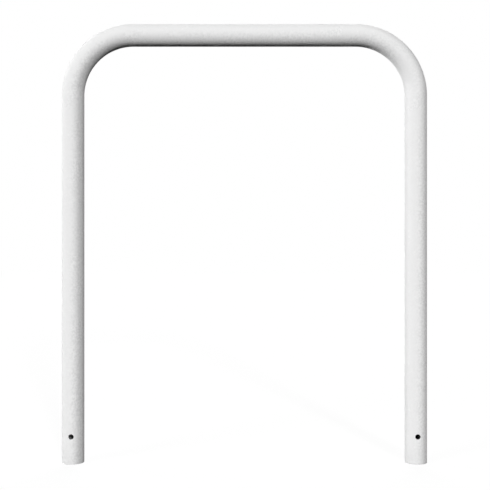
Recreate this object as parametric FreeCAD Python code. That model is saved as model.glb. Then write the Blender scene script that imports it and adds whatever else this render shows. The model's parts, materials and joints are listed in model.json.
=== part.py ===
"""Hoop barrier for setting in the ground, in millimetres.

Five lengths of round steel tube make the hoop: two legs, two quarter bends and a top rail.
At each of the four joints the tube ends are bevelled, slid over an inner ferrule and butt-welded,
and the weld is dressed flush. Each leg is cross-drilled near its foot for a ground anchor bar.

The origin is on the ground line, midway between the feet. +Z is up, +X is to the right as seen
from the front, and +Y points away from the front. The hoop lies in the XZ plane.
"""

import FreeCAD
import Part
import math
import os

# Overall size, over the outside of the tube
OVERALL_WIDTH = 1000.0
OVERALL_HEIGHT = 1200.0

# Tube stock
TUBE_DIAMETER = 60.3
TUBE_WALL = 3.2
BEND_RADIUS = 165.0  # to the centre line of the tube

# Feet and anchor holes
FOOT_EDGE_BREAK = 0.6  # filed off both rims of the sawn end
ANCHOR_HOLE_DIAMETER = 14.0
ANCHOR_HOLE_HEIGHT = 75.0  # from the foot to the centre of the hole

# Ferrules, and the reamed seats that they slide into
FERRULE_LENGTH = 60.0
FERRULE_WALL = 3.0
FERRULE_LEAD = 1.5  # lead-in chamfer on each end
SEAT_DEPTH = 0.3  # reamed off the bore of the tube
SEAT_RUN_OUT = 1.0  # length of the seat past the end of the ferrule
SEAT_CLEARANCE = 0.1  # radial, between the ferrule and its seat
TAIL_PAST_FERRULE = 10.0  # straight length of a bend beyond the end of its ferrule

# Butt welds
ROOT_GAP = 2.0  # between the two tube ends
ROOT_FACE = 1.0  # square land at the bottom of the bevel
BEVEL_ANGLE = 30.0  # degrees, on each tube end

# Radii that the pieces share
OUTER = TUBE_DIAMETER / 2
BORE = OUTER - TUBE_WALL
SEAT = BORE + SEAT_DEPTH
FERRULE_OUTER = SEAT - SEAT_CLEARANCE
FERRULE_BORE = FERRULE_OUTER - FERRULE_WALL
BEVEL_FOOT = SEAT + ROOT_FACE

# Lengths measured along the tube from the middle of a joint
HALF_GAP = ROOT_GAP / 2
BEVEL_TOP = HALF_GAP + (OUTER - BEVEL_FOOT) * math.tan(math.radians(BEVEL_ANGLE))
SEAT_END = FERRULE_LENGTH / 2 + SEAT_RUN_OUT
BEND_TAIL = FERRULE_LENGTH / 2 + TAIL_PAST_FERRULE

# Places of the centre lines, bends and joints; the left side is at minus X
LEG_X = OVERALL_WIDTH / 2 - OUTER
RAIL_Z = OVERALL_HEIGHT - OUTER
BEND_CENTRE_X = LEG_X - BEND_RADIUS
BEND_CENTRE_Z = RAIL_Z - BEND_RADIUS
LEG_JOINT_Z = BEND_CENTRE_Z - BEND_TAIL
RAIL_JOINT_X = BEND_CENTRE_X - BEND_TAIL

ORIGIN = FreeCAD.Vector(0, 0, 0)
Y_AXIS = FreeCAD.Vector(0, 1, 0)
Z_AXIS = FreeCAD.Vector(0, 0, 1)


def turned(section):
    """Solid of revolution about Z of a half section, given as (radius, height) corners."""
    corners = [FreeCAD.Vector(radius, 0, height) for radius, height in section]
    outline = Part.makePolygon(corners + corners[:1])
    return Part.Face(outline).revolve(ORIGIN, Z_AXIS, 360)


def foot_end():
    """Corners of a sawn tube end from the outside to the bore, as (radius, distance from the end)."""
    return [
        (OUTER, FOOT_EDGE_BREAK),
        (OUTER - FOOT_EDGE_BREAK, 0),
        (BORE + FOOT_EDGE_BREAK, 0),
        (BORE, FOOT_EDGE_BREAK),
    ]


def joint_end():
    """Corners of a bevelled and reamed tube end, as (radius, distance from the middle of the joint)."""
    return [
        (OUTER, BEVEL_TOP),
        (BEVEL_FOOT, HALF_GAP),
        (SEAT, HALF_GAP),
        (SEAT, SEAT_END),
        (BORE, SEAT_END),
    ]


def square_end():
    """Corners of a plain tube end, as (radius, distance from the end)."""
    return [(OUTER, 0), (BORE, 0)]


def straight_tube(length, lower_end, upper_end):
    """Tube up the Z axis from 0 to length, with the given corners at its two ends."""
    upper = [(radius, length - distance) for radius, distance in reversed(upper_end)]
    return turned(lower_end + upper)


def on_left_leg(shape, height):
    """The shape moved from the Z axis to the left leg's centre line, raised to a height."""
    placed = shape.copy()
    placed.translate(FreeCAD.Vector(-LEG_X, 0, height))
    return placed


def on_rail(shape, start_x):
    """The shape laid along the top rail, with its foot at start_x and its head towards plus X."""
    placed = shape.copy()
    placed.rotate(ORIGIN, Y_AXIS, 90)
    placed.translate(FreeCAD.Vector(start_x, 0, RAIL_Z))
    return placed


def on_right(shape):
    """The left side's piece turned half a turn about the hoop's middle, to serve on the right."""
    placed = shape.copy()
    placed.rotate(ORIGIN, Z_AXIS, 180)
    return placed


def anchor_drill():
    """Drill that passes front to back through the left leg."""
    start = FreeCAD.Vector(-LEG_X, -TUBE_DIAMETER, ANCHOR_HOLE_HEIGHT)
    return Part.makeCylinder(ANCHOR_HOLE_DIAMETER / 2, 2 * TUBE_DIAMETER, start, Y_AXIS)


def left_leg():
    """Straight tube from the foot up to the leg joint, cross-drilled near the foot."""
    tube = straight_tube(LEG_JOINT_Z, foot_end(), joint_end())
    return on_left_leg(tube, 0).cut(anchor_drill())


def top_rail():
    """Straight tube between the two rail joints."""
    tube = straight_tube(2 * RAIL_JOINT_X, joint_end(), joint_end())
    return on_rail(tube, -RAIL_JOINT_X)


def left_bend():
    """Quarter bend with a straight, bevelled tail on each end."""
    leg_side = FreeCAD.Vector(-LEG_X, 0, BEND_CENTRE_Z)
    rim = Part.makeCircle(OUTER, leg_side, Z_AXIS)
    hole = Part.makeCircle(BORE, leg_side, Z_AXIS)
    ring = Part.Face([Part.Wire(rim), Part.Wire(hole)])
    centre = FreeCAD.Vector(-BEND_CENTRE_X, 0, BEND_CENTRE_Z)
    quarter = ring.revolve(centre, Y_AXIS, 90)
    leg_tail = on_left_leg(straight_tube(BEND_TAIL, joint_end(), square_end()), LEG_JOINT_Z)
    rail_tail = on_rail(straight_tube(BEND_TAIL, square_end(), joint_end()), -BEND_CENTRE_X)
    return quarter.fuse([leg_tail, rail_tail]).removeSplitter()


def ferrule():
    """Inner sleeve centred on a joint at the origin, chamfered to lead into both tube ends."""
    half = FERRULE_LENGTH / 2
    return turned(
        [
            (FERRULE_BORE, -half),
            (FERRULE_OUTER - FERRULE_LEAD, -half),
            (FERRULE_OUTER, -half + FERRULE_LEAD),
            (FERRULE_OUTER, half - FERRULE_LEAD),
            (FERRULE_OUTER - FERRULE_LEAD, half),
            (FERRULE_BORE, half),
        ]
    )


def weld():
    """Weld metal that fills the groove of a joint at the origin, dressed flush with the tube."""
    return turned(
        [
            (FERRULE_OUTER, -HALF_GAP),
            (BEVEL_FOOT, -HALF_GAP),
            (OUTER, -BEVEL_TOP),
            (OUTER, BEVEL_TOP),
            (BEVEL_FOOT, HALF_GAP),
            (FERRULE_OUTER, HALF_GAP),
        ]
    )


def hoop():
    """Every piece of the hoop in its place, by name."""
    left_side = {
        "leg": left_leg(),
        "bend": left_bend(),
        "leg_ferrule": on_left_leg(ferrule(), LEG_JOINT_Z),
        "leg_weld": on_left_leg(weld(), LEG_JOINT_Z),
        "rail_ferrule": on_rail(ferrule(), -RAIL_JOINT_X),
        "rail_weld": on_rail(weld(), -RAIL_JOINT_X),
    }
    pieces = {"top_rail": top_rail()}
    for name, shape in left_side.items():
        pieces["left_" + name] = shape
        pieces["right_" + name] = on_right(shape)
    return pieces


def main():
    """Writes one file for each piece of the hoop."""
    os.makedirs("parts", exist_ok=True)
    for name, shape in hoop().items():
        solid = shape.Solids[0]
        print(f"{name}: {len(shape.Solids)} solid, valid {shape.isValid()}, {solid.Volume:.1f} mm3")
        solid.exportStep(f"parts/{name}.step")


main()
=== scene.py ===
"""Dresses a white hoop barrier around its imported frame, in metres.

Two legs, two quarter bends and a top rail are modelled ring by ring, with the weld rings and the inner
ferrules of their four joints. Each new piece takes the place of the solid that it is named after.
The frame gives the sizes and places, and the left side's pieces serve on the right after half a turn.
"""

import json
import logging
import math
from abc import ABC, abstractmethod
from dataclasses import dataclass
from enum import Enum
from typing import Any, Iterable

import bpy
from bpy.types import Material, Node, NodeSocket, NodeTree, Object, bpy_prop_collection
from mathutils import Matrix, Vector


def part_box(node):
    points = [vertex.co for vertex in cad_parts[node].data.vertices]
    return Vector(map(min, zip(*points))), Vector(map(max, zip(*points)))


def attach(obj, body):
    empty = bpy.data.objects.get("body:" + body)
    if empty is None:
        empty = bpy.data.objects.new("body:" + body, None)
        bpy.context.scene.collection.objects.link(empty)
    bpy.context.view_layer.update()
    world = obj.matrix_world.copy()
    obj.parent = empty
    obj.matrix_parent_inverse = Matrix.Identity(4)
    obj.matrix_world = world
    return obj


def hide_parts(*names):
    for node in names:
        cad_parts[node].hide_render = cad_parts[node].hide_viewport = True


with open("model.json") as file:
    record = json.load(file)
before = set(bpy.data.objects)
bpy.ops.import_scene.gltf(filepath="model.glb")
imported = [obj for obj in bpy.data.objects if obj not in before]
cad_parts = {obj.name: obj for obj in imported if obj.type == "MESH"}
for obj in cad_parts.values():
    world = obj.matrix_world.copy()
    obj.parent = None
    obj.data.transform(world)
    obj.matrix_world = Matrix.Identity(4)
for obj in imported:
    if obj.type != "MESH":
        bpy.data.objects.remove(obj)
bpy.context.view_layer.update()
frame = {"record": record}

LOG = logging.getLogger("hoop_barrier")
BODY = "root"
MILLIMETRES = 0.001
QUARTER_TURN = math.pi / 2
HALF_TURN = math.pi

# Fineness of the meshes
RING_POINTS = 128
BEND_STEPS = 64
ROUND_STEPS = 4
DRILL_POINTS = 96
ROW_LENGTH = 0.060
MERGE_DISTANCE = 0.00001
SMOOTH_ANGLE = math.radians(30)

# Attribute of a coated mesh that tells how squarely each point faces the lit side, to the left, in front
# and above; it steers the painted shade and light of the coat's texture on the side away from the lamps
LIT_SIDE_ATTRIBUTE = "spray"

# Ranges of textures and masks, and the level that a texture swings about
Span = tuple[float, float]
RISE: Span = (0.0, 1.0)
FALL: Span = (1.0, 0.0)
MIDDLE = 0.5

# Colours are linear red, green, blue and cover
Colour = tuple[float, float, float, float]
WHITE: Colour = (1.0, 1.0, 1.0, 1.0)


class Slot(Enum):
    """Material slots of the record."""

    WHITE_COAT = "white_coat"
    ZINC = "zinc"


class Skin(Enum):
    """Place of each finish in a tube's own list of materials."""

    COAT = 0
    BORE = 1


class WallSide(Enum):
    """Side of a tube's wall, with the way that it faces along the radius."""

    OUTSIDE = 1.0
    BORE = -1.0


class MixSocket(Enum):
    """Places of the colour sockets on a Mix node, whose sockets share their names."""

    FIRST = 6
    SECOND = 7
    RESULT = 2


class Heading(Enum):
    """Way that a straight tube runs, with the turn that lays its first ring square to it."""

    UP = ((0.0, 0.0, 1.0), (0.0, 0.0, 0.0))
    ALONG_RAIL = ((1.0, 0.0, 0.0), (0.0, QUARTER_TURN, 0.0))

    @property
    def direction(self) -> Vector:
        """Unit vector along the tube."""
        return Vector(self.value[0])

    @property
    def turn(self) -> tuple[float, float, float]:
        """Euler turn of a flat circle that makes it a ring of the tube."""
        return self.value[1]


@dataclass(frozen=True)
class Station:
    """One ring of a turned wall.

    Attributes:
        radius: Radius of the ring.
        along: Distance along the tube from the middle of the joint, or from the foot.
    """

    radius: float
    along: float


@dataclass(frozen=True)
class HoopSizes:
    """Sizes and places that the pieces share.

    Attributes:
        outer: Outside radius of the tube.
        bore: Inside radius of the tube.
        foot_break: Radius of the rounded rims of a foot.
        hole_radius: Radius of an anchor hole.
        hole_height: Height of an anchor hole's centre.
        leg_x: Distance of a leg's centre line from the middle of the hoop.
        rail_z: Height of the rail's centre line.
        bend_centre_z: Height of a bend's centre.
        leg_joint_z: Height of the joint between a leg and its bend.
        rail_joint_x: Distance of a rail joint from the middle of the hoop.
        half_gap: Half the gap between two tube ends at a joint.
        bevel_top: Distance of a bevel's outer edge from the middle of its joint.
        seat_end: Distance of a reamed seat's shoulder from the middle of its joint.
        ferrule_outer: Outside radius of a ferrule.
        ferrule_half: Half the length of a ferrule.
        seat_clearance: Radial room between a ferrule and its seat.
        bevel_angle: Slope of a bevelled tube end.
        ferrule_wall: Wall of a ferrule.
        ferrule_lead: Chamfer on each end of a ferrule.
    """

    outer: float
    bore: float
    foot_break: float
    hole_radius: float
    hole_height: float
    leg_x: float
    rail_z: float
    bend_centre_z: float
    leg_joint_z: float
    rail_joint_x: float
    half_gap: float
    bevel_top: float
    seat_end: float
    ferrule_outer: float
    ferrule_half: float
    seat_clearance: float = 0.0001
    bevel_angle: float = math.radians(30)
    ferrule_wall: float = 0.003
    ferrule_lead: float = 0.0015

    @classmethod
    def from_frame(cls, record: dict[str, Any]) -> "HoopSizes":
        """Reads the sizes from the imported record's mounts and from the solids' boxes.

        Args:
            record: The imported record.

        Returns:
            The sizes of this hoop.
        """
        mounts = {mount["name"]: mount for mount in record["mounts"]}
        root = mounts["left_leg_root"]
        bore = mounts["left_leg_bore"]
        hole = mounts["left_anchor_hole"]
        leg_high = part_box("left_leg")[1]
        rail_low, rail_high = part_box("top_rail")
        weld_low, weld_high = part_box("left_leg_weld")
        rail_weld_low, rail_weld_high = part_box("left_rail_weld")
        ferrule_low, ferrule_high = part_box("left_leg_ferrule")
        foot_break = root["pos_m"][2]
        leg_joint_z = (weld_low.z + weld_high.z) / 2
        bore_top = bore["pos_m"][2] + bore["dims"]["length_mm"] * MILLIMETRES
        return cls(
            outer=root["dims"]["r_mm"] * MILLIMETRES,
            bore=bore["dims"]["r_mm"] * MILLIMETRES,
            foot_break=foot_break,
            hole_radius=hole["dims"]["r_mm"] * MILLIMETRES,
            hole_height=hole["pos_m"][2],
            leg_x=-root["pos_m"][0],
            rail_z=(rail_low.z + rail_high.z) / 2,
            bend_centre_z=foot_break + root["dims"]["length_mm"] * MILLIMETRES,
            leg_joint_z=leg_joint_z,
            rail_joint_x=-(rail_weld_low.x + rail_weld_high.x) / 2,
            half_gap=leg_joint_z - leg_high.z,
            bevel_top=(weld_high.z - weld_low.z) / 2,
            seat_end=leg_joint_z - bore_top,
            ferrule_outer=(ferrule_high.y - ferrule_low.y) / 2,
            ferrule_half=(ferrule_high.z - ferrule_low.z) / 2,
        )

    @property
    def bend_radius(self) -> float:
        """Radius of a bend's centre line."""
        return self.rail_z - self.bend_centre_z

    @property
    def bend_centre(self) -> Vector:
        """Point that the left bend turns about."""
        return Vector((self.bend_radius - self.leg_x, 0.0, self.bend_centre_z))

    @property
    def bend_tail(self) -> float:
        """Straight length of a bend, from the middle of its joint."""
        return self.bend_centre_z - self.leg_joint_z

    @property
    def seat(self) -> float:
        """Radius of the reamed seat in a tube end."""
        return self.ferrule_outer + self.seat_clearance

    @property
    def bevel_foot(self) -> float:
        """Radius at the bottom of a bevelled tube end."""
        return self.outer - (self.bevel_top - self.half_gap) / math.tan(self.bevel_angle)

    def near_end(self) -> list[Station]:
        """Rings of a bevelled and reamed tube end at the start of a run.

        Returns:
            The rings, from the outside to the bore.
        """
        return [
            Station(self.outer, self.bevel_top),
            Station(self.bevel_foot, self.half_gap),
            Station(self.seat, self.half_gap),
            Station(self.seat, self.seat_end),
            Station(self.bore, self.seat_end),
        ]

    def far_end(self, joint: float) -> list[Station]:
        """Rings of such a tube end at a joint further along."""
        return [Station(ring.radius, joint - ring.along) for ring in self.near_end()]

    def distance_from_centre_line(self, point: Vector) -> float:
        """Distance of a point from the centre line of the whole hoop.

        Args:
            point: A point on or in a tube.

        Returns:
            The radius at which the point lies in its tube.
        """
        side = abs(point.x) - self.leg_x
        bend_x = abs(point.x) + self.bend_centre.x
        if point.z < self.bend_centre_z:
            return math.hypot(side, point.y)
        if bend_x < 0:
            return math.hypot(point.z - self.rail_z, point.y)
        arm = math.hypot(bend_x, point.z - self.bend_centre_z)
        return math.hypot(arm - self.bend_radius, point.y)


def apply_place() -> None:
    """Puts the selected piece's place, turn and scale into its mesh."""
    bpy.ops.object.transform_apply(location=True, rotation=True, scale=True)


def select_only(piece: Object) -> None:
    """Makes a piece the only selected and the active one.

    Args:
        piece: The piece.
    """
    bpy.ops.object.select_all(action="DESELECT")
    piece.select_set(True)
    bpy.context.view_layer.objects.active = piece


def half_turn_copy(piece: Object, name: str) -> Object:
    """Copies a left-hand piece to the right, turned half a turn about the middle of the hoop.

    Args:
        piece: The finished left-hand piece.
        name: Name of the copy.

    Returns:
        The copy, with a mesh of its own.
    """
    select_only(piece)
    bpy.ops.object.duplicate(linked=False)
    copy = bpy.context.object
    copy.name = name
    copy.data.name = name
    bpy.ops.transform.rotate(value=HALF_TURN, orient_axis="Z", center_override=(0.0, 0.0, 0.0))
    apply_place()
    return copy


class RingWalk:
    """A turned wall: a circle that is extruded and resized from ring to ring."""

    def __init__(self, name: str, start: Vector, heading: Heading, first: Station) -> None:
        """Adds the first ring in its place and opens it for editing.

        Args:
            name: Name of the piece.
            start: Centre of the first ring.
            heading: Way that the tube runs from there.
            first: The first ring.
        """
        self.centre = start.copy()
        self.direction = heading.direction
        self.last = first
        bpy.ops.object.select_all(action="DESELECT")
        half_step = HALF_TURN / RING_POINTS
        bpy.ops.mesh.primitive_circle_add(
            vertices=RING_POINTS, radius=first.radius, rotation=(0.0, 0.0, half_step)
        )
        self.piece = bpy.context.object
        self.piece.name = name
        self.piece.data.name = name
        apply_place()
        self.piece.rotation_euler = heading.turn
        self.piece.location = start
        apply_place()
        bpy.ops.object.mode_set(mode="EDIT")
        bpy.ops.mesh.select_all(action="SELECT")

    def step(self, radius: float, run: float) -> None:
        """Extrudes the last ring along the tube and resizes the new one.

        Args:
            radius: Radius of the new ring.
            run: Length of the step, negative for a step back.
        """
        bpy.ops.mesh.extrude_region_move(TRANSFORM_OT_translate={"value": self.direction * run})
        self.centre += self.direction * run
        share = radius / self.last.radius
        across = [share + (1.0 - share) * abs(part) for part in self.direction]
        bpy.ops.transform.resize(value=across, center_override=self.centre)
        self.last = Station(radius, self.last.along + run)

    def follow(self, stations: Iterable[Station]) -> None:
        """Goes on through the stations, with even rows on a long straight.

        Args:
            stations: The next rings, in order.
        """
        for station in stations:
            run = station.along - self.last.along
            rows = max(1, round(abs(run) / ROW_LENGTH))
            for row in range(rows, 0, -1):
                radius = station.radius if row == 1 else self.last.radius
                self.step(radius, (station.along - self.last.along) / row)

    def bend(self, centre: Vector, turn: float, along: float) -> None:
        """Spins the last ring about the Y axis of a bend.

        Args:
            centre: Point that the bend turns about.
            turn: Angle of the bend, positive from up to the right.
            along: Distance that the next stations are measured from there.
        """
        axis = (0.0, -math.copysign(1.0, turn), 0.0)
        bpy.ops.mesh.spin(steps=BEND_STEPS, angle=abs(turn), center=centre, axis=axis)
        swing = Matrix.Rotation(turn, 3, "Y")
        self.centre = centre + swing @ (self.centre - centre)
        self.direction = swing @ self.direction
        self.last = Station(self.last.radius, along)

    def close(self) -> Object:
        """Joins the last ring to the first and leaves edit mode.

        Returns:
            The closed piece.
        """
        bpy.ops.mesh.select_all(action="SELECT")
        bpy.ops.mesh.remove_doubles(threshold=MERGE_DISTANCE)
        bpy.ops.mesh.normals_make_consistent(inside=False)
        bpy.ops.object.mode_set(mode="OBJECT")
        return self.piece


def grey(level: float) -> Colour:
    """Neutral colour of one level."""
    return (level, level, level, 1.0)


class NodeSheet:
    """A node tree with short ways to add and link nodes."""

    def __init__(self, tree: NodeTree) -> None:
        """Starts on an empty tree."""
        tree.nodes.clear()
        self.tree = tree

    def add(self, kind: str, *values: Any, **settings: Any) -> Node:
        """Adds a node and feeds its first inputs in order.

        Args:
            kind: Blender's name for the type of node.
            values: An output, a number or a colour for each of those inputs.
            settings: Values of the node's own properties.

        Returns:
            The new node.
        """
        node = self.tree.nodes.new(kind)
        for name, setting in settings.items():
            setattr(node, name, setting)
        for target, value in zip(node.inputs, values):
            self.feed(target, value)
        return node

    def link(self, source: NodeSocket, target: NodeSocket) -> None:
        """Links an output to an input."""
        self.tree.links.new(source, target)

    def feed(self, target: NodeSocket, value: Any) -> None:
        """Links an output to an input, or sets the input to a number or a colour.

        Args:
            target: The input.
            value: The output, number or colour.
        """
        if isinstance(value, NodeSocket):
            self.link(value, target)
        else:
            target.default_value = value

    def math(self, operation: str, first: Any, second: Any) -> NodeSocket:
        """Works out a sum of two outputs or numbers."""
        return self.add("ShaderNodeMath", first, second, operation=operation).outputs["Value"]

    def weigh(self, *parts: tuple[NodeSocket, float]) -> NodeSocket:
        """Adds up outputs by their shares.

        Args:
            parts: Each output with its share.

        Returns:
            The weighed total.
        """
        total, *others = [self.math("MULTIPLY", value, share) for value, share in parts]
        for other in others:
            total = self.math("ADD", total, other)
        return total

    def spread(self, value: NodeSocket, source: Span, target: Span) -> NodeSocket:
        """Carries an output smoothly from one range to another, and no further than its ends."""
        node = self.add("ShaderNodeMapRange", value, *source, *target, interpolation_type="SMOOTHSTEP")
        return node.outputs["Result"]

    def blend(self, share: NodeSocket, first: Any, second: Any) -> NodeSocket:
        """Blends two colours.

        Args:
            share: Share of the second colour.
            first: A colour or an output.
            second: A colour or an output.

        Returns:
            The blended colour.
        """
        node = self.add("ShaderNodeMix", share, data_type="RGBA")
        self.feed(node.inputs[MixSocket.FIRST.value], first)
        self.feed(node.inputs[MixSocket.SECOND.value], second)
        return node.outputs[MixSocket.RESULT.value]


class FinishSheet(NodeSheet):
    """The node sheet of a new material with one Principled shader."""

    def __init__(self, name: str) -> None:
        """Makes the material with its shader and its output.

        Args:
            name: Name of the material.
        """
        self.material = bpy.data.materials.new(name)
        self.material.use_nodes = True
        super().__init__(self.material.node_tree)
        self.shader = self.add("ShaderNodeBsdfPrincipled")
        self.add("ShaderNodeOutputMaterial", self.shader.outputs["BSDF"])

    def give(self, socket: str, value: Any) -> None:
        """Gives one of the shader's sockets an output, a number or a colour."""
        self.feed(self.shader.inputs[socket], value)

    def emboss(self, height: NodeSocket, relief: float) -> None:
        """Raises the surface by a texture.

        Args:
            height: Output of the texture.
            relief: Height that a level of 1 stands for.
        """
        bump = self.add("ShaderNodeBump")
        self.feed(bump.inputs["Distance"], relief)
        self.feed(bump.inputs["Height"], height)
        self.give("Normal", bump.outputs["Normal"])


class NodeGroup:
    """A shared surface effect, as a shader node group with named sockets."""

    def __init__(self, name: str, sizes: Iterable[str], outputs: Iterable[str]) -> None:
        """Makes the group with its sockets.

        Args:
            name: Name of the group.
            sizes: Names of the inputs that are lengths.
            outputs: Names of the values that it puts out.
        """
        self.tree = bpy.data.node_groups.new(name, "ShaderNodeTree")
        self.sheet = NodeSheet(self.tree)
        sockets = [("Vector", "INPUT", "NodeSocketVector")]
        sockets += [(size, "INPUT", "NodeSocketFloat") for size in sizes]
        sockets += [(output, "OUTPUT", "NodeSocketFloat") for output in outputs]
        for socket, way, kind in sockets:
            self.tree.interface.new_socket(name=socket, in_out=way, socket_type=kind)
        self.inputs = self.sheet.add("NodeGroupInput").outputs
        self.outputs = self.sheet.add("NodeGroupOutput").inputs

    def texture(self, kind: str, size: str, **settings: Any) -> Node:
        """Adds a texture whose features have the length of one of the group's inputs.

        Args:
            kind: Blender's name for the texture node.
            size: Name of the input that holds the length.
            settings: Values of the node's own properties.

        Returns:
            The texture node.
        """
        node = self.sheet.add(kind, self.inputs["Vector"], **settings)
        self.sheet.link(self.sheet.math("DIVIDE", 1.0, self.inputs[size]), node.inputs["Scale"])
        return node

    def noise(self, size: str, detail: float) -> NodeSocket:
        """Adds a noise.

        Args:
            size: Name of the input that holds its length.
            detail: Number of finer layers in it.

        Returns:
            The level of the noise, about the middle of 0 to 1.
        """
        node = self.texture("ShaderNodeTexNoise", size)
        node.inputs["Detail"].default_value = detail
        return node.outputs["Fac"]

    def cells(self, size: str) -> tuple[NodeSocket, NodeSocket]:
        """Adds a pattern of cells.

        Args:
            size: Name of the input that holds their length.

        Returns:
            The lot that each cell draws, from 0 to 1, and the distance from the cell's middle.
        """
        node = self.texture("ShaderNodeTexVoronoi", size, feature="F1")
        lot = self.sheet.add("ShaderNodeSeparateColor", node.outputs["Color"])
        return lot.outputs["Red"], node.outputs["Distance"]

    def place(self, sheet: NodeSheet, sizes: dict[str, float]) -> bpy_prop_collection:
        """Places the group in a material, on Object coordinates.

        Args:
            sheet: The material's node sheet.
            sizes: Lengths for this material.

        Returns:
            The outputs of the group, by name.
        """
        node = sheet.add("ShaderNodeGroup", node_tree=self.tree)
        sheet.link(sheet.add("ShaderNodeTexCoord").outputs["Object"], node.inputs["Vector"])
        for size, value in sizes.items():
            node.inputs[size].default_value = value
        return node.outputs


@dataclass(frozen=True)
class CoatGrain:
    """Fine texture of a sprayed and baked coat, stronger in some patches than in others.

    Attributes:
        wave_detail: Finer layers in the soft waves.
        grain_detail: Finer layers in the fine grain.
        patch_detail: Finer layers in the outline of the patches.
        wave_share: Share of the soft waves in the height.
        grain_share: Share of the fine grain.
        speck_share: Share of the specks.
        speck_lots: Lots at which a cell's speck starts to show and is full.
        speck_edge: Distances from a cell's middle at which its speck starts to fade and ends.
        patch_edge: Noise at which a patch starts and is full.
        patch_strength: Strength of the texture outside a patch and in it.
    """

    wave_detail: float = 1.0
    grain_detail: float = 2.0
    patch_detail: float = 2.0
    wave_share: float = 0.70
    grain_share: float = 0.30
    speck_share: float = 0.25
    speck_lots: Span = (0.55, 0.95)
    speck_edge: Span = (0.06, 0.32)
    patch_edge: Span = (0.35, 0.65)
    patch_strength: Span = (0.5, 1.6)

    def group(self) -> NodeGroup:
        """Builds the texture.

        Returns:
            A group that puts out the Height of the texture and its Specks, each from about 0 to 1.
        """
        sizes = ("Peel Size", "Grain Size", "Speck Spacing", "Patch Size")
        group = NodeGroup("coat_grain", sizes, ("Height", "Specks"))
        sheet = group.sheet
        waves = group.noise("Peel Size", self.wave_detail)
        grains = group.noise("Grain Size", self.grain_detail)
        lot, distance = group.cells("Speck Spacing")
        chosen = sheet.spread(lot, self.speck_lots, RISE)
        dot = sheet.spread(distance, self.speck_edge, FALL)
        specks = sheet.math("MULTIPLY", chosen, dot)
        even = sheet.weigh(
            (waves, self.wave_share), (grains, self.grain_share), (specks, self.speck_share)
        )
        patch = group.noise("Patch Size", self.patch_detail)
        strength = sheet.spread(patch, self.patch_edge, self.patch_strength)
        swing = sheet.math("MULTIPLY", sheet.math("SUBTRACT", even, MIDDLE), strength)
        sheet.link(sheet.math("ADD", swing, MIDDLE), group.outputs["Height"])
        sheet.link(specks, group.outputs["Specks"])
        return group


@dataclass(frozen=True)
class ZincSpangle:
    """Crystal pattern of hot-dip zinc.

    Attributes:
        ripple_detail: Finer layers in the ripples.
        crystal_share: Share of a crystal's own lot in its shade.
        ripple_share: Share of the ripples.
    """

    ripple_detail: float = 3.0
    crystal_share: float = 0.6
    ripple_share: float = 0.4

    def group(self) -> NodeGroup:
        """Builds the pattern.

        Returns:
            A group that puts out the Shade of each crystal and the Height of the zinc, each from 0 to 1.
        """
        group = NodeGroup("zinc_spangle", ("Crystal Size", "Ripple Size"), ("Shade", "Height"))
        sheet = group.sheet
        lot, _ = group.cells("Crystal Size")
        ripple = group.noise("Ripple Size", self.ripple_detail)
        shade = sheet.weigh((lot, self.crystal_share), (ripple, self.ripple_share))
        sheet.link(shade, group.outputs["Shade"])
        sheet.link(ripple, group.outputs["Height"])
        return group


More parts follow.
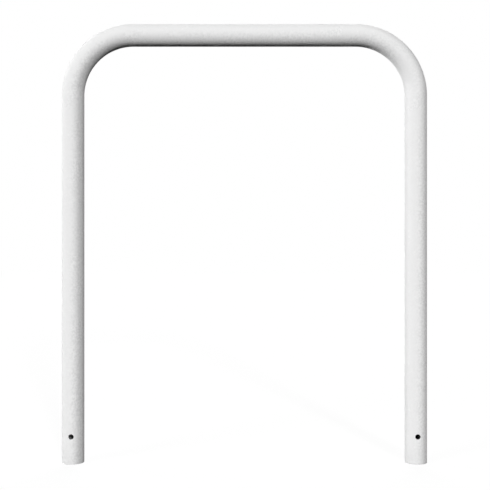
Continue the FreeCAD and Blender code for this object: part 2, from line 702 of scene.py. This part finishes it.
@dataclass(frozen=True)
class CoatFinish:
    """White powder coat with a fine texture.

    Attributes:
        deep: Grey level of the coat in the dips of its texture, darker as painted shade.
        pale: Grey level of the coat on the crests, lighter as painted light.
        shaded_side_dip: Grey level of the dips on the side away from the lamps, darker as painted shade.
        shaded_side_crest: Grey level of the crests there, lighter as painted light on the relief.
        speck: Grey level of the specks, lighter than the coat as painted glints.
        smooth: Roughness on the crests of the texture.
        rough: Roughness in its dips.
        gloss: Specular level of the coat.
        crest: Heights at which a dip ends and a crest is full.
        relief: Height of the texture.
        peel_size: Length of the soft waves.
        grain_size: Length of the fine grain.
        speck_spacing: Distance between possible specks.
        patch_size: Length of the patches of stronger texture.
        gun: Way that the lit side lies, to the left, in front and above.
        shaded_side: Facings towards the lit side at which the texture's painted shade and light start
            and are full.
    """

    deep: float = 0.85
    pale: float = 0.87
    shaded_side_dip: float = 0.80
    shaded_side_crest: float = 0.92
    speck: float = 0.905
    smooth: float = 0.66
    rough: float = 0.80
    gloss: float = 0.03
    crest: Span = (0.3, 0.7)
    relief: float = 0.0006
    peel_size: float = 0.0055
    grain_size: float = 0.0016
    speck_spacing: float = 0.014
    patch_size: float = 0.05
    gun: tuple[float, float, float] = (-0.7, -0.2, 0.7)
    shaded_side: Span = (0.40, 0.0)

    def grain_sizes(self) -> dict[str, float]:
        """Lengths of this coat.

        Returns:
            The lengths, by the names of the grain group's inputs.
        """
        return {
            "Peel Size": self.peel_size,
            "Grain Size": self.grain_size,
            "Speck Spacing": self.speck_spacing,
            "Patch Size": self.patch_size,
        }

    def shaded_side_mask(self, sheet: NodeSheet) -> NodeSocket:
        """Mask of the faces turned away from the lamps, from 0 on the lit side to 1 on the far side,
        where the texture gets painted shade and light.
        """
        spray = sheet.add("ShaderNodeAttribute", attribute_name=LIT_SIDE_ATTRIBUTE)
        return sheet.spread(spray.outputs["Fac"], self.shaded_side, RISE)

    def material(self, grain: NodeGroup) -> Material:
        """Makes the coat.

        Args:
            grain: The coat's texture.

        Returns:
            The material.
        """
        sheet = FinishSheet("white_coat_finish")
        texture = grain.place(sheet, self.grain_sizes())
        crest = sheet.spread(texture["Height"], self.crest, RISE)
        # Crests lighter and dips darker by the texture's height: painted light and shade of the relief
        full = sheet.blend(crest, grey(self.deep), grey(self.pale))
        # Dips darker and crests lighter on the side away from the lamps: painted shade and painted light
        # of the relief
        shaded_side = sheet.blend(crest, grey(self.shaded_side_dip), grey(self.shaded_side_crest))
        tone = sheet.blend(self.shaded_side_mask(sheet), full, shaded_side)
        # Lighter specks scattered over the coat: painted glints
        sheet.give("Base Color", sheet.blend(texture["Specks"], tone, grey(self.speck)))
        sheet.give("Roughness", sheet.spread(crest, RISE, (self.rough, self.smooth)))
        sheet.give("Specular IOR Level", self.gloss)
        sheet.emboss(texture["Height"], self.relief)
        return sheet.material


@dataclass(frozen=True)
class ZincFinish:
    """Hot-dip zinc, bright or weathered, with or without white overspray near the feet.

    Attributes:
        name: Name of the material.
        overspray_height: Height above the feet at which the overspray ends, or 0 for none.
        overspray_edge: Cover at which the overspray starts to show and is full.
        metal: Share of bare metal, with the rest dulled to a grey film.
        gloss: Specular level of the grey film.
        dark: Colour of the darkest crystals.
        light: Colour of the lightest crystals.
        smooth: Roughness of the lightest crystals.
        rough: Roughness of the darkest crystals.
        sheen: Shades at which a crystal counts as dark and as light in its roughness.
        relief: Height of the ripples.
        crystal_size: Length of a crystal.
        ripple_size: Length of a ripple.
    """

    name: str
    overspray_height: float = 0.0
    overspray_edge: Span = (0.25, 0.75)
    metal: float = 1.0
    gloss: float = 0.05
    dark: Colour = (0.40, 0.41, 0.43, 1.0)
    light: Colour = (0.62, 0.63, 0.64, 1.0)
    smooth: float = 0.42
    rough: float = 0.62
    sheen: Span = (0.2, 0.8)
    relief: float = 0.0001
    crystal_size: float = 0.009
    ripple_size: float = 0.004

    def material(self, spangle: NodeGroup, grain: NodeGroup, coat: CoatFinish) -> Material:
        """Makes the zinc.

        Args:
            spangle: The zinc's crystal pattern.
            grain: The texture that breaks up the overspray.
            coat: The coat that the overspray comes from.

        Returns:
            The material.
        """
        sheet = FinishSheet(self.name)
        sizes = {"Crystal Size": self.crystal_size, "Ripple Size": self.ripple_size}
        crystals = spangle.place(sheet, sizes)
        colour = sheet.blend(crystals["Shade"], self.dark, self.light)
        if self.overspray_height > 0:
            colour = sheet.blend(self.overspray(sheet, grain, coat), colour, grey(coat.deep))
        sheet.give("Base Color", colour)
        sheet.give("Roughness", sheet.spread(crystals["Shade"], self.sheen, (self.rough, self.smooth)))
        sheet.give("Metallic", self.metal)
        sheet.give("Specular IOR Level", self.gloss)
        sheet.emboss(crystals["Height"], self.relief)
        return sheet.material

    def overspray(self, sheet: NodeSheet, grain: NodeGroup, coat: CoatFinish) -> NodeSocket:
        """Adds the mask of the overspray, which thins out up the bore.

        Args:
            sheet: The material's node sheet.
            grain: The texture that breaks the overspray up.
            coat: The coat that it comes from.

        Returns:
            The mask, from 0 on bare zinc to 1 under the coat.
        """
        texture = grain.place(sheet, coat.grain_sizes())
        place = sheet.add("ShaderNodeTexCoord").outputs["Object"]
        height = sheet.add("ShaderNodeSeparateXYZ", place).outputs["Z"]
        cover = sheet.spread(height, (0.0, self.overspray_height), FALL)
        broken = sheet.math("ADD", cover, sheet.math("SUBTRACT", texture["Height"], MIDDLE))
        return sheet.spread(broken, self.overspray_edge, RISE)


@dataclass(frozen=True)
class Finishes:
    """Materials that the pieces are dressed in.

    Attributes:
        coat: White coat of the outside.
        bore: Zinc inside the tubes, with overspray at the feet; its dark grey is partly painted shade in
            the bores and the anchor holes.
        ferrule: Zinc of the ferrules.
        gun: Way that the lit side lies from the hoop, for the coat's painted shade and light.
    """

    coat: Material
    bore: Material
    ferrule: Material
    gun: tuple[float, float, float]

    @classmethod
    def mixed(cls) -> "Finishes":
        """Makes the shared textures and the three materials.

        Returns:
            The finishes.
        """
        grain = CoatGrain().group()
        spangle = ZincSpangle().group()
        coat = CoatFinish()
        # The bore's zinc is made dark grey, partly as painted shade that keeps the bores and anchor
        # holes dark
        bore = ZincFinish(
            "zinc_bore_finish",
            overspray_height=0.02,
            metal=0.0,
            dark=(0.18, 0.185, 0.19, 1.0),
            light=(0.28, 0.285, 0.29, 1.0),
        )
        ferrule = ZincFinish("zinc_ferrule_finish")
        return cls(
            coat=coat.material(grain),
            bore=bore.material(spangle, grain, coat),
            ferrule=ferrule.material(spangle, grain, coat),
            gun=coat.gun,
        )


@dataclass
class SubAssembly(ABC):
    """Pieces of one kind, with the sizes and finishes that they take.

    Attributes:
        sizes: Sizes of the hoop.
        finishes: Materials of the hoop.
    """

    sizes: HoopSizes
    finishes: Finishes

    @abstractmethod
    def build(self) -> list[Object]:
        """Models the pieces, dresses them, puts them in place and returns them."""

    def fit(self, piece: Object, node: str, slot: Slot) -> None:
        """Puts a finished piece in the place of its solid.

        Args:
            piece: The finished piece.
            node: Name of the solid that it stands for.
            slot: Material slot of the record.
        """
        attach(piece, BODY)
        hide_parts(node)
        if slot is Slot.WHITE_COAT:
            self.spray(piece)

    def fit_pair(self, left: Object, node: str, slot: Slot) -> list[Object]:
        """Copies a left-hand piece to the right and puts both in place.

        Args:
            left: The left-hand piece.
            node: Name of its solid, without the side.
            slot: Material slot of the record.

        Returns:
            The left-hand and the right-hand piece.
        """
        right = half_turn_copy(left, left.name.replace("left", "right"))
        self.fit(left, "left_" + node, slot)
        self.fit(right, "right_" + node, slot)
        return [left, right]

    def spray(self, piece: Object) -> None:
        """Stores how squarely each point of a coated piece faces the lit side, from -1 to 1, for the
        coat's painted shade and light.

        Args:
            piece: A coated piece in its place.
        """
        towards_gun = Vector(self.finishes.gun).normalized()
        shares = piece.data.attributes.new(LIT_SIDE_ATTRIBUTE, "FLOAT", "POINT")
        for point in piece.data.vertices:
            shares.data[point.index].value = point.normal.dot(towards_gun)

    def is_bare(self, point: Vector) -> bool:
        """Tells whether a point lies in a tube's bore or on its seats, where the coat doesn't reach."""
        inside = (self.sizes.seat + self.sizes.bevel_foot) / 2
        return self.sizes.distance_from_centre_line(point) < inside

    def dress_tube(self, piece: Object) -> None:
        """Gives a tube its coat, the zinc of its bare faces and smooth shading.

        Args:
            piece: The finished wall of the tube.
        """
        piece.data.materials.append(self.finishes.coat)
        piece.data.materials.append(self.finishes.bore)
        for face in piece.data.polygons:
            skin = Skin.BORE if self.is_bare(face.center) else Skin.COAT
            face.material_index = skin.value
        self.smooth(piece)

    def dress_plain(self, piece: Object, material: Material) -> None:
        """Gives a piece one material and smooth shading."""
        piece.data.materials.append(material)
        self.smooth(piece)

    def smooth(self, piece: Object) -> None:
        """Shades the round faces of a piece smooth and keeps its edges."""
        select_only(piece)
        bpy.ops.object.shade_smooth_by_angle(angle=SMOOTH_ANGLE)


@dataclass
class Legs(SubAssembly):
    """The two legs: straight tubes with rounded feet, cross-drilled for an anchor bar.

    Attributes:
        drill_margin: Length of plain rows above and below an anchor hole.
        drill_widths: Length of the drill, in widths of the tube.
        rim_round: Radius of the coat's rounded edge on the outside of an anchor hole.
        rim_steps: Faces across that edge.
        rim_merge: Distance under which points of a rim are joined.
    """

    drill_margin: float = 0.008
    drill_widths: float = 2.0
    rim_round: float = 0.0006
    rim_steps: int = 3
    rim_merge: float = 0.00012

    def build(self) -> list[Object]:
        """Models the left leg, copies it to the right and puts both in place.

        Returns:
            Both legs.
        """
        leg = self.tube()
        self.drill(leg)
        self.dress_tube(leg)
        return self.fit_pair(leg, "leg", Slot.WHITE_COAT)

    def from_hole_axis(self, point: Vector) -> float:
        """Distance of a point from the axis of the left leg's anchor hole."""
        return math.hypot(point.x + self.sizes.leg_x, point.z - self.sizes.hole_height)

    def is_bare(self, point: Vector) -> bool:
        """Counts the walls of the anchor hole as bare too, since powder hardly settles there; their dark
        bore zinc is also painted shade in the hole.
        """
        return super().is_bare(point) or self.from_hole_axis(point) < self.sizes.hole_radius

    def foot_rim(self, radius: float, side: WallSide) -> list[Station]:
        """Rings of a rounded rim of the foot, from the wall's side to the sawn end.

        Args:
            radius: Radius of the wall's side.
            side: The side of the wall.

        Returns:
            The rings.
        """
        height = self.sizes.foot_break
        reach = side.value * height
        angles = [QUARTER_TURN * step / ROUND_STEPS for step in range(ROUND_STEPS + 1)]
        return [
            Station(radius - reach + reach * math.cos(angle), height * (1 - math.sin(angle)))
            for angle in angles
        ]

    def tube(self) -> Object:
        """Models the left leg's wall, with plain rows around the place of its hole.

        Returns:
            The wall, not yet drilled.
        """
        sizes = self.sizes
        rim = self.foot_rim(sizes.outer, WallSide.OUTSIDE)
        reach = sizes.hole_radius + self.drill_margin
        rows = (sizes.hole_height - reach, sizes.hole_height + reach)
        start = Vector((-sizes.leg_x, 0.0, rim[-1].along))
        walk = RingWalk("left_leg_tube", start, Heading.UP, rim[-1])
        walk.follow(reversed(rim[:-1]))
        walk.follow(Station(sizes.outer, row) for row in rows)
        walk.follow(sizes.far_end(sizes.leg_joint_z))
        walk.follow(Station(sizes.bore, row) for row in reversed(rows))
        walk.follow(self.foot_rim(sizes.bore, WallSide.BORE))
        walk.follow(rim[-1:])
        return walk.close()

    def drill(self, leg: Object) -> None:
        """Drills the left leg front to back and rounds the coat's edge on the holes.

        Args:
            leg: The left leg's wall.
        """
        sizes = self.sizes
        bpy.ops.object.select_all(action="DESELECT")
        bpy.ops.mesh.primitive_cylinder_add(
            vertices=DRILL_POINTS,
            radius=sizes.hole_radius,
            depth=self.drill_widths * 2 * sizes.outer,
            location=(-sizes.leg_x, 0.0, sizes.hole_height),
            rotation=(QUARTER_TURN, 0.0, 0.0),
        )
        drill = bpy.context.object
        select_only(leg)
        cut = leg.modifiers.new("anchor_hole", "BOOLEAN")
        cut.operation = "DIFFERENCE"
        cut.solver = "EXACT"
        cut.object = drill
        bpy.ops.object.modifier_apply(modifier=cut.name)
        bpy.data.objects.remove(drill)
        self.sort_points()
        self.open_rims(leg)
        bpy.ops.mesh.remove_doubles(threshold=self.rim_merge)
        bpy.ops.object.mode_set(mode="OBJECT")
        self.open_rims(leg)
        bpy.ops.mesh.bevel(
            offset=self.rim_round, segments=self.rim_steps, affect="EDGES", clamp_overlap=False
        )
        bpy.ops.object.mode_set(mode="OBJECT")

    def sort_points(self) -> None:
        """Puts the drilled leg's points in a fixed order, so that each run joins the same ones."""
        bpy.ops.object.mode_set(mode="EDIT")
        bpy.ops.mesh.select_all(action="SELECT")
        bpy.ops.mesh.sort_elements(type="CURSOR_DISTANCE", elements={"VERT"})
        bpy.ops.object.mode_set(mode="OBJECT")

    def open_rims(self, leg: Object) -> None:
        """Opens the left leg for editing, with the edges selected where the holes meet its outside.

        Args:
            leg: The drilled leg.
        """
        sizes = self.sizes
        mesh = leg.data
        bpy.ops.object.mode_set(mode="EDIT")
        bpy.ops.mesh.select_mode(type="EDGE")
        bpy.ops.mesh.select_all(action="DESELECT")
        bpy.ops.object.mode_set(mode="OBJECT")
        outside = (sizes.outer + sizes.bore) / 2
        on_rim = set()
        for point in mesh.vertices:
            off_rim = abs(self.from_hole_axis(point.co) - sizes.hole_radius)
            if off_rim < self.rim_merge and sizes.distance_from_centre_line(point.co) > outside:
                on_rim.add(point.index)
        for edge in mesh.edges:
            edge.select = on_rim.issuperset(edge.vertices)
        bpy.ops.object.mode_set(mode="EDIT")


@dataclass
class Bends(SubAssembly):
    """The two quarter bends, each with a short straight tail on both ends."""

    def build(self) -> list[Object]:
        """Models the left bend, copies it to the right and puts both in place.

        Returns:
            Both bends.
        """
        bend = self.tube()
        self.dress_tube(bend)
        return self.fit_pair(bend, "bend", Slot.WHITE_COAT)

    def tube(self) -> Object:
        """Models the left bend: outside from the leg to the rail, then back through the bore.

        Returns:
            The wall of the bend.
        """
        sizes = self.sizes
        tail = sizes.bend_tail
        leg_end = sizes.near_end()
        start = Vector((-sizes.leg_x, 0.0, sizes.leg_joint_z + leg_end[0].along))
        walk = RingWalk("left_bend_tube", start, Heading.UP, leg_end[0])
        walk.follow([Station(sizes.outer, tail)])
        walk.bend(sizes.bend_centre, QUARTER_TURN, along=0.0)
        walk.follow(sizes.far_end(tail))
        walk.follow([Station(sizes.bore, 0.0)])
        walk.bend(sizes.bend_centre, -QUARTER_TURN, along=tail)
        walk.follow(reversed(leg_end))
        return walk.close()


@dataclass
class TopRail(SubAssembly):
    """The straight tube between the two bends."""

    def build(self) -> list[Object]:
        """Models the rail and puts it in place.

        Returns:
            The rail.
        """
        rail = self.tube()
        self.dress_tube(rail)
        self.fit(rail, "top_rail", Slot.WHITE_COAT)
        return [rail]

    def tube(self) -> Object:
        """Models the rail's wall from its left joint to its right one and back through the bore.

        Returns:
            The wall of the rail.
        """
        sizes = self.sizes
        left_end = sizes.near_end()
        start = Vector((left_end[0].along - sizes.rail_joint_x, 0.0, sizes.rail_z))
        walk = RingWalk("top_rail_tube", start, Heading.ALONG_RAIL, left_end[0])
        walk.follow(sizes.far_end(2 * sizes.rail_joint_x))
        walk.follow(reversed(left_end))
        return walk.close()


@dataclass
class Joints(SubAssembly):
    """The four butt joints, each with an inner ferrule and a ring of weld metal dressed flush."""

    def build(self) -> list[Object]:
        """Models both pieces of the left joints, copies them to the right and puts all in place.

        Returns:
            The ferrules and the weld rings.
        """
        places = {
            "leg": (Vector((-self.sizes.leg_x, 0.0, self.sizes.leg_joint_z)), Heading.UP),
            "rail": (Vector((-self.sizes.rail_joint_x, 0.0, self.sizes.rail_z)), Heading.ALONG_RAIL),
        }
        kinds = (
            ("ferrule", "sleeve", self.ferrule_corners(), self.finishes.ferrule, Slot.ZINC),
            ("weld", "ring", self.weld_corners(), self.finishes.coat, Slot.WHITE_COAT),
        )
        pieces = []
        for place, (middle, heading) in places.items():
            for node, shape, corners, material, slot in kinds:
                left = self.turned(f"left_{place}_{node}_{shape}", middle, heading, corners)
                self.dress_plain(left, material)
                pieces += self.fit_pair(left, f"{place}_{node}", slot)
        return pieces

    def turned(self, name: str, middle: Vector, heading: Heading, half: list[Station]) -> Object:
        """Models a closed ring that is the same on both sides of the joint.

        Args:
            name: Name of the piece.
            middle: Middle of the joint.
            heading: Way that the tube runs there.
            half: Corners of the ring's section up to the middle of the joint.

        Returns:
            The finished mesh.
        """
        first = half[0]
        walk = RingWalk(name, middle + heading.direction * first.along, heading, first)
        walk.follow(half[1:])
        walk.follow(Station(corner.radius, -corner.along) for corner in reversed(half))
        walk.follow([first])
        return walk.close()

    def ferrule_corners(self) -> list[Station]:
        """Half the section of a ferrule: a plain sleeve with a chamfer at each end.

        Returns:
            The corners up to the middle of the joint.
        """
        sizes = self.sizes
        return [
            Station(sizes.ferrule_outer - sizes.ferrule_wall, -sizes.ferrule_half),
            Station(sizes.ferrule_outer - sizes.ferrule_lead, -sizes.ferrule_half),
            Station(sizes.ferrule_outer, sizes.ferrule_lead - sizes.ferrule_half),
        ]

    def weld_corners(self) -> list[Station]:
        """Half the section of a weld, which fills the groove between two bevelled tube ends.

        Returns:
            The corners up to the middle of the joint.
        """
        sizes = self.sizes
        return [
            Station(sizes.ferrule_outer, -sizes.half_gap),
            Station(sizes.bevel_foot, -sizes.half_gap),
            Station(sizes.outer, -sizes.bevel_top),
        ]


@dataclass(frozen=True)
class StudioLamp:
    """A wide lamp far away, given by where it stands round the hoop.

    Attributes:
        name: Name of the lamp.
        azimuth: Degrees to the right of the front.
        elevation: Degrees above the floor.
        spread: Degrees across the lamp.
        strength: Light on a surface that faces it.
        distance: Distance of its mark in the scene, which doesn't change its light.
    """

    name: str
    azimuth: float
    elevation: float
    spread: float
    strength: float
    distance: float = 4.0

    def build(self) -> None:
        """Hangs the lamp."""
        azimuth = math.radians(self.azimuth)
        elevation = math.radians(self.elevation)
        level = math.cos(elevation)
        towards = Vector((math.sin(azimuth) * level, -math.cos(azimuth) * level, math.sin(elevation)))
        turn = towards.to_track_quat("Z", "Y").to_euler()
        bpy.ops.object.light_add(type="SUN", location=towards * self.distance, rotation=turn)
        lamp = bpy.context.object
        lamp.name = self.name
        lamp.data.energy = self.strength
        lamp.data.angle = math.radians(self.spread)


@dataclass(frozen=True)
class Studio:
    """Floor, white surroundings, lamps and camera.

    Attributes:
        floor_size: Width of the floor.
        floor_drop: Distance of the floor below the feet.
        floor_glow: Light of the floor's own, as the camera sees it.
        floor_colour: Grey level that takes the lamps' light and the hoop's shadow.
        floor_bounce: Grey level that the floor gives back to the hoop.
        ambient: Light from all round on the hoop.
        lamps: The lamps.
        camera_side: Distance of the camera to the right of the hoop's middle.
        camera_back: Distance of the camera in front of the hoop.
        camera_height: Height of the camera, which looks level.
        focal_pixels: Focal length in pixels of the image.
        image_pixels: Width of the image.
    """

    floor_size: float = 30.0
    floor_drop: float = 0.0002
    floor_glow: float = 0.925
    floor_colour: float = 0.11
    floor_bounce: float = 0.02
    ambient: float = 0.032
    lamps: tuple[StudioLamp, ...] = (
        StudioLamp("key_lamp", azimuth=15.5, elevation=19.0, spread=6.0, strength=1.93),
        StudioLamp("left_lamp", azimuth=-48.5, elevation=14.5, spread=20.0, strength=1.69),
        StudioLamp("left_back_lamp", azimuth=-116.0, elevation=1.0, spread=30.0, strength=2.64),
        StudioLamp("back_lamp", azimuth=175.0, elevation=45.0, spread=40.0, strength=1.28),
    )
    camera_side: float = 0.0014
    camera_back: float = 2.3591
    camera_height: float = 0.5951
    focal_pixels: float = 860.0
    image_pixels: float = 490.0

    def build(self) -> None:
        """Sets up the studio."""
        self.lay_floor()
        self.surround()
        for lamp in self.lamps:
            lamp.build()
        self.aim_camera()

    def lay_floor(self) -> None:
        """Lays the floor just below the feet."""
        bpy.ops.object.select_all(action="DESELECT")
        bpy.ops.mesh.primitive_plane_add(size=self.floor_size, location=(0.0, 0.0, -self.floor_drop))
        floor = bpy.context.object
        floor.name = "studio_floor"
        floor.data.materials.append(self.floor_finish())

    def floor_finish(self) -> Material:
        """Makes a white that keeps the hoop's shadow, gives little light back and is clear from below.

        Returns:
            The material.
        """
        material = bpy.data.materials.new("studio_floor_finish")
        material.use_nodes = True
        sheet = NodeSheet(material.node_tree)
        glow = sheet.add("ShaderNodeEmission", WHITE, self.floor_glow).outputs["Emission"]
        paint = sheet.add("ShaderNodeBsdfDiffuse", grey(self.floor_colour)).outputs["BSDF"]
        shown = sheet.add("ShaderNodeAddShader", glow, paint).outputs["Shader"]
        bounce = sheet.add("ShaderNodeBsdfDiffuse", grey(self.floor_bounce)).outputs["BSDF"]
        clear = sheet.add("ShaderNodeBsdfTransparent", WHITE).outputs["BSDF"]
        below = sheet.add("ShaderNodeNewGeometry").outputs["Backfacing"]
        top = sheet.add("ShaderNodeMixShader", self.shown_rays(sheet), bounce, shown).outputs["Shader"]
        both = sheet.add("ShaderNodeMixShader", below, top, clear).outputs["Shader"]
        sheet.add("ShaderNodeOutputMaterial", both)
        return material

    def surround(self) -> None:
        """Makes the world white to the camera and in reflections, and dim as a light."""
        world = bpy.data.worlds.new("studio_world")
        world.use_nodes = True
        bpy.context.scene.world = world
        sheet = NodeSheet(world.node_tree)
        dim = sheet.add("ShaderNodeBackground", WHITE, self.ambient).outputs["Background"]
        white = sheet.add("ShaderNodeBackground", WHITE).outputs["Background"]
        both = sheet.add("ShaderNodeMixShader", self.shown_rays(sheet), dim, white).outputs["Shader"]
        sheet.add("ShaderNodeOutputWorld", both)

    def shown_rays(self, sheet: NodeSheet) -> NodeSocket:
        """Adds the test for rays that show the background: camera, glossy and transmission ones.

        Args:
            sheet: Node sheet of the floor or of the world.

        Returns:
            1 for such a ray and 0 for any other.
        """
        path = sheet.add("ShaderNodeLightPath").outputs
        seen = sheet.math("MAXIMUM", path["Is Camera Ray"], path["Is Glossy Ray"])
        return sheet.math("MAXIMUM", seen, path["Is Transmission Ray"])

    def aim_camera(self) -> None:
        """Stands the camera level in front of the hoop."""
        place = (self.camera_side, -self.camera_back, self.camera_height)
        bpy.ops.object.camera_add(location=place, rotation=(QUARTER_TURN, 0.0, 0.0))
        camera = bpy.context.object
        camera.name = "front_camera"
        camera.data.lens = camera.data.sensor_width * self.focal_pixels / self.image_pixels
        bpy.context.scene.camera = camera
        bpy.context.scene.view_settings.view_transform = "Standard"


def main() -> None:
    """Builds and dresses the hoop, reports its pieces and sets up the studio."""
    logging.basicConfig(level=logging.INFO, format="%(name)s: %(message)s")
    sizes = HoopSizes.from_frame(frame["record"])
    finishes = Finishes.mixed()
    for kind in (Legs, Bends, TopRail, Joints):
        for piece in kind(sizes, finishes).build():
            dress = ", ".join(piece.data.materials.keys())
            LOG.info("%s: %d faces in %s", piece.name, len(piece.data.polygons), dress)
    Studio().build()


if __name__ == "__main__":
    main()
